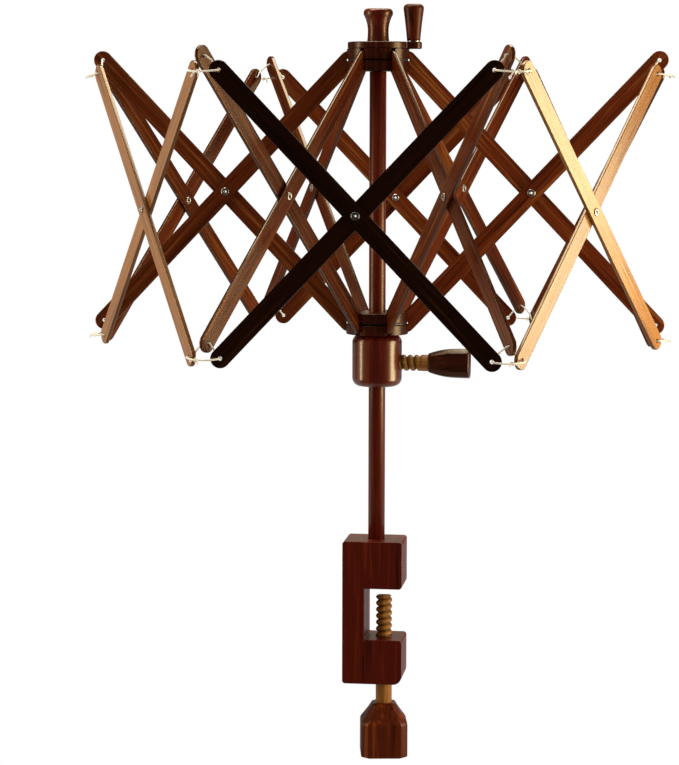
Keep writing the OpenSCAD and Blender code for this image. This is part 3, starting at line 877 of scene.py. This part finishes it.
def add_screws():
    """Both wooden screws and their knobs. A screw turns with its knob, so its thread rides on it."""
    thumb_low, thumb_high = corners("thumb_screw")
    clamp_low, clamp_high = corners("clamp_screw")
    out = np.array([1.0, 0.0, 0.0])
    middle = (thumb_low + thumb_high) / 2
    tip = np.array([thumb_low[0], middle[1], middle[2]])
    collar_face = corners("collar")[1][0]
    threaded = collar_face - thumb_low[0] + THUMB_THREAD_OUT
    points, grain, quads, tone = screw_points(thumb_high[0] - thumb_low[0], threaded, tip, out)
    mesh = make_mesh("thumb_screw_thread", points, quads, grain=grain, tone=tone)
    add_piece("thumb_screw_thread", mesh, "thumb_knob", "screw", ["thumb_screw"])
    knob_low, knob_high = corners("thumb_knob")
    foot = np.array([knob_low[0], middle[1], middle[2]])
    mesh = knob_mesh(
        "thumb_knob_wood", foot, out, knob_high[0] - knob_low[0], width=23.5 * MM, neck=15 * MM,
        shoulder=13.5 * MM, cut=4.4 * MM, bow=0.9, soft=4 * MM, shift=0.11,
    )
    add_piece("thumb_knob_wood", mesh, "thumb_knob", "dark_knob", ["thumb_knob"])

    middle = (clamp_low + clamp_high) / 2
    tip = np.array([middle[0], middle[1], clamp_high[2]])
    block_foot = corners("clamp_block")[0][2]
    threaded = clamp_high[2] - block_foot - CLAMP_SHANK_IN
    points, grain, quads, tone = screw_points(clamp_high[2] - clamp_low[2], threaded, tip, -UP)
    mesh = make_mesh("clamp_screw_thread", points, quads, grain=grain, tone=tone)
    add_piece("clamp_screw_thread", mesh, "clamp_knob", "screw", ["clamp_screw"])
    knob_low, knob_high = corners("clamp_knob")
    foot = np.array([middle[0], middle[1], knob_high[2]])
    mesh = knob_mesh(
        "clamp_knob_wood", foot, -UP, knob_high[2] - knob_low[2], width=38 * MM, neck=18.5 * MM,
        shoulder=15 * MM, cut=5.6 * MM, bow=1.15, soft=1.2 * MM, shift=0.83,
    )
    add_piece("clamp_knob_wood", mesh, "clamp_knob", "knob", ["clamp_knob"])


# Pieces that keep the shape of their solids

SAME_SOLID_POINT = 1e-6
FLAT_ANGLE = math.radians(0.5)
SHARP_ANGLE = math.radians(32)


def add_eased(node, ease, finish="block", limited=True):
    """A copy of a node's mesh with its doubles merged and its sharp edges eased. The ease is limited
    to what the form's smallest faces leave room for, unless that would hold it back all over."""
    mesh = nodes[node].data.copy()
    mesh.name = node + "_wood"
    if "custom_normal" in mesh.attributes:
        mesh.attributes.remove(mesh.attributes["custom_normal"])
    merged = bmesh.new()
    merged.from_mesh(mesh)
    bmesh.ops.remove_doubles(merged, verts=merged.verts, dist=SAME_SOLID_POINT)
    bmesh.ops.dissolve_limit(
        merged, angle_limit=FLAT_ANGLE, verts=merged.verts, edges=merged.edges, delimit=set()
    )
    merged.to_mesh(mesh)
    merged.free()
    mesh.polygons.foreach_set("use_smooth", np.ones(len(mesh.polygons), bool))
    mesh.set_sharp_from_angle(angle=SHARP_ANGLE)
    piece = add_piece(node + "_wood", mesh, nodes[node]["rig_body"], finish, [node])
    bevel = piece.modifiers.new("eased edges", "BEVEL")
    bevel.width = ease
    bevel.segments = 3
    bevel.use_clamp_overlap = limited
    bevel.limit_method = "ANGLE"
    bevel.angle_limit = SHARP_ANGLE
    bevel.harden_normals = True


def keep_solid(node, finish):
    """A node that is shown as it is, with a finish of its own."""
    for slot in nodes[node].material_slots:
        slot.material = finishes[finish]


# Floor, backdrop and light

FLOOR_Z = -0.75
FLOOR_SIZE = 8.0
FLOOR_COLOR = (0.82, 0.82, 0.81, 1)
SHADOW_SHARE = 0.2
SHADOW_REACH = (0.9, 2.2)
FLOOR_FRONT, FLOOR_REAR = -0.8, 0.2
STUDIO_LEVEL = 0.02
FLOOR_REAR_LEVEL = 0.43
BAND_LEVEL = 0.62
BAND_BEHIND, BAND_RISE = (0.55, 0.9), (0.03, 0.12)
OVERHEAD_LEVEL = 0.04
OVERHEAD_RISE = (0.15, 0.8)
FILL_LEVEL = 0.46
FILL_COLOR = (1.0, 0.88, 0.72, 1)
WHITE = (1, 1, 1, 1)


def looking_rays(root):
    """1 for a ray that looks from the camera, and 1 for one that looks from a reflection or
    through glass."""
    camera = root.node("LightPath", None, None, out="Is Camera Ray")
    return camera, camera.twin("Is Glossy Ray").largest(camera.twin("Is Transmission Ray"))


def add_floor():
    """A pale floor, well below the table's edge. To the camera it is white, with a share of plain
    shading under the object that keeps its shadow. In reflections it is as dark as the studio in
    front of the object and pale behind it."""
    mesh = bpy.data.meshes.new("floor")
    around = ((-1, -1), (1, -1), (1, 1), (-1, 1))
    plane = [(x * FLOOR_SIZE, y * FLOOR_SIZE, FLOOR_Z) for x, y in around]
    mesh.from_pydata(plane, [], [(0, 1, 2, 3)])
    floor = bpy.data.objects.new("floor", mesh)
    bpy.context.scene.collection.objects.link(floor)
    material, root = new_material("floor_white")
    place = root.node("TexCoord", None, None, out="Object")
    away = root.node("VectorMath", {"operation": "LENGTH"}, {0: place}, out="Value")
    camera, mirrored = looking_rays(root)
    rear = root.node("SeparateXYZ", None, {"Vector": place}, out="Y").step(FLOOR_FRONT, FLOOR_REAR)
    clear = (1 - SHADOW_SHARE) + SHADOW_SHARE * away.step(*SHADOW_REACH)
    seen = (camera * clear).largest(mirrored)
    plain = root.node("BsdfDiffuse", None, {"Color": FLOOR_COLOR})
    level = camera + mirrored * (STUDIO_LEVEL + FLOOR_REAR_LEVEL * rear)
    white = root.node("Emission", None, {"Color": WHITE, "Strength": level})
    surface = root.node("MixShader", None, {"Fac": seen, 1: plain, 2: white})
    root.node("OutputMaterial", None, {"Surface": surface})
    mesh.materials.append(material)


def light_world():
    """A white backdrop to the camera, an even soft light on the object, and in reflections a
    dark studio with a pale band above the horizon behind. The sky isn't sampled as a lamp, so each
    kind of ray meets only the level that is meant for it."""
    world = bpy.data.worlds.new("studio")
    world.use_nodes = True
    world.cycles.sampling_method = "NONE"
    world.node_tree.nodes.clear()
    bpy.context.scene.world = world
    root = Socket(world.node_tree)
    camera, mirrored = looking_rays(root)
    way = root.node("TexCoord", None, None, out="Generated")
    parts = root.node("SeparateXYZ", None, {"Vector": way}, out="Y")
    behind = parts.step(*BAND_BEHIND) * parts.twin("Z").step(*BAND_RISE)
    overhead = parts.twin("Z").step(*OVERHEAD_RISE)
    studio = STUDIO_LEVEL + behind * BAND_LEVEL + overhead * OVERHEAD_LEVEL
    level = camera + (1 - camera) * (mirrored * studio + (1 - mirrored) * FILL_LEVEL)
    color = camera.mix(FILL_COLOR, WHITE)
    sky = root.node("Background", None, {"Color": color, "Strength": level})
    root.node("OutputWorld", None, {"Surface": sky})


# The soft boxes: spot, aim, size, watts, colour and the spread of the grid on it in degrees
LAMPS = {
    "key": ((0.78, 0.235, 0.25), (0.225, -0.191, 0.262), (0.14, 0.7), 0.085, (0.95, 0.94, 0.68), 24),
    "left_key": ((-0.75, 0.335, 0.25), (-0.15, -0.14, 0.262), (0.2, 0.7), 0.0072, (1.0, 0.74, 0.52), 22),
    "right": ((0.9, -0.07, 0.2), (0, 0, 0.2), (0.4, 0.7), 11, (1.0, 0.85, 0.58), 180),
    "left": ((-0.85, -0.26, 0.3), (0, 0, 0.27), (0.1, 0.7), 3.6, (1.0, 0.88, 0.70), 180),
    "top": ((-0.1, 0.16, 1.3), (0, 0, 0.4), (1.3, 0.4), 20, (1.0, 0.93, 0.82), 180),
}


def add_lamp(name, spot, aim, size, watts, color, spread):
    """A soft box that stands at a spot and faces the point it is aimed at. A grid on it narrows the
    spread of its light, in degrees."""
    data = bpy.data.lights.new(name, "AREA")
    data.shape = "RECTANGLE"
    data.size, data.size_y = size
    data.energy = watts
    data.color = color
    data.spread = math.radians(spread)
    lamp = bpy.data.objects.new(name, data)
    facing = (Vector(aim) - Vector(spot)).to_track_quat("-Z", "Y").to_matrix().to_4x4()
    lamp.matrix_world = Matrix.Translation(spot) @ facing
    bpy.context.scene.collection.objects.link(lamp)


# The object

place_camera()
add_slats()
add_rivets()
add_ties()
add_post()
add_screws()
add_eased("clamp_block", 1.1 * MM)
add_eased("crown_hub", 0.5 * MM, "hub")
add_eased("crown_plate", 0.9 * MM, "hub", limited=False)
add_eased("runner_hub", 0.5 * MM, "hub")
keep_solid("collar", "collar")
keep_solid("crown_wire", "wire")
keep_solid("runner_wire", "wire")
keep_solid("peg_washer", "nickel")
keep_solid("peg_screw", "nickel")
add_floor()
light_world()
for lamp_name, settings in LAMPS.items():
    add_lamp(lamp_name, *settings)
bpy.context.scene.view_settings.view_transform = "Standard"
